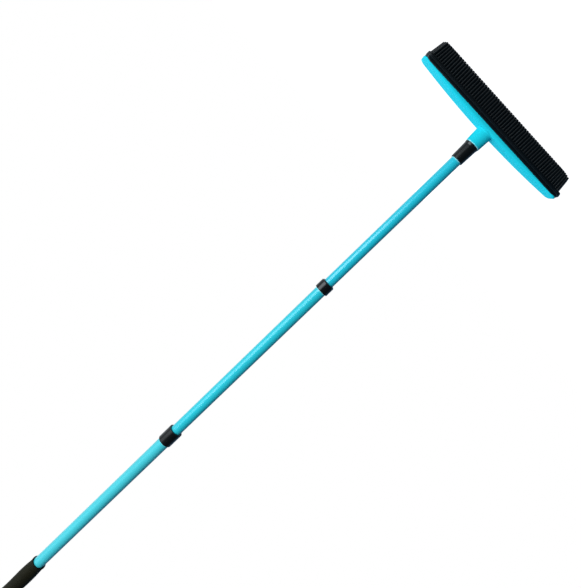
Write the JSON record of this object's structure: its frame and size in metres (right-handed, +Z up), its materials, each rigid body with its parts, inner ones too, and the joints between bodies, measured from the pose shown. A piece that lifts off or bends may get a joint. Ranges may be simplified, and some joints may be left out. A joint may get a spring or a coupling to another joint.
{
  "type": "rubber broom with telescopic pole",
  "caption": "Rubber broom with a squeegee lip on a bowed moulded head, screwed to a telescopic pole with twist locks, collars, a soft grip and a hanging eye",
  "frame": {"origin": "Middle of the hanging hole at the top of the pole.", "axes": "+Z is up along the pole away from the head, X runs along the head, +Y is its back and -Y the side with the lip."},
  "size_m": [0.335, 0.0472, 1.4648],
  "materials": {
    "tube_paint": "gloss paint on thin steel tube",
    "head_plastic": "satin moulded plastic",
    "black_plastic": "satin moulded plastic",
    "lock_plastic": "natural moulded plastic",
    "grip_rubber": "matte soft rubber",
    "bristle_rubber": "satin black rubber"
  },
  "bodies": {
    "handle": {"end_cap": "black_plastic", "grip": "grip_rubber", "handle_tube": "tube_paint", "handle_collar": "black_plastic"},
    "middle_ring": {"middle_lock_ring": "lock_plastic"},
    "middle": {"middle_lock_plug": "black_plastic", "middle_tube": "tube_paint", "middle_collar": "black_plastic"},
    "head_ring": {"head_lock_ring": "lock_plastic"},
    "head_pole": {"head_lock_plug": "black_plastic", "head_tube": "tube_paint", "pole_tip": "black_plastic"},
    "head": {"head_body": "head_plastic", "rubber_pad": "bristle_rubber", "squeegee_lip": "bristle_rubber", "bristle_bed": "bristle_rubber"}
  },
  "joints": [
    {"name": "middle_slide", "type": "slide", "parent": "handle", "child": "middle_ring", "axis": [0, 0, 1], "range_m": [-0.07, 0.408]},
    {"name": "middle_twist", "type": "hinge", "parent": "middle_ring", "child": "middle", "pos_m": [0, 0.0008, -0.498], "axis": [0, 0, 1], "range_deg": [-25, 25]},
    {"name": "head_slide", "type": "slide", "parent": "middle", "child": "head_ring", "axis": [0, 0, 1], "range_m": [-0.07, 0.311]},
    {"name": "head_twist", "type": "hinge", "parent": "head_ring", "child": "head_pole", "pos_m": [0, 0.0008, -0.9316], "axis": [0, 0, 1], "range_deg": [-25, 25]},
    {"name": "head_screw", "type": "hinge", "parent": "head_pole", "child": "head", "pos_m": [0, 0, -1.387], "axis": [0, 0, -1], "range_deg": [0, 1710]}
  ]
}
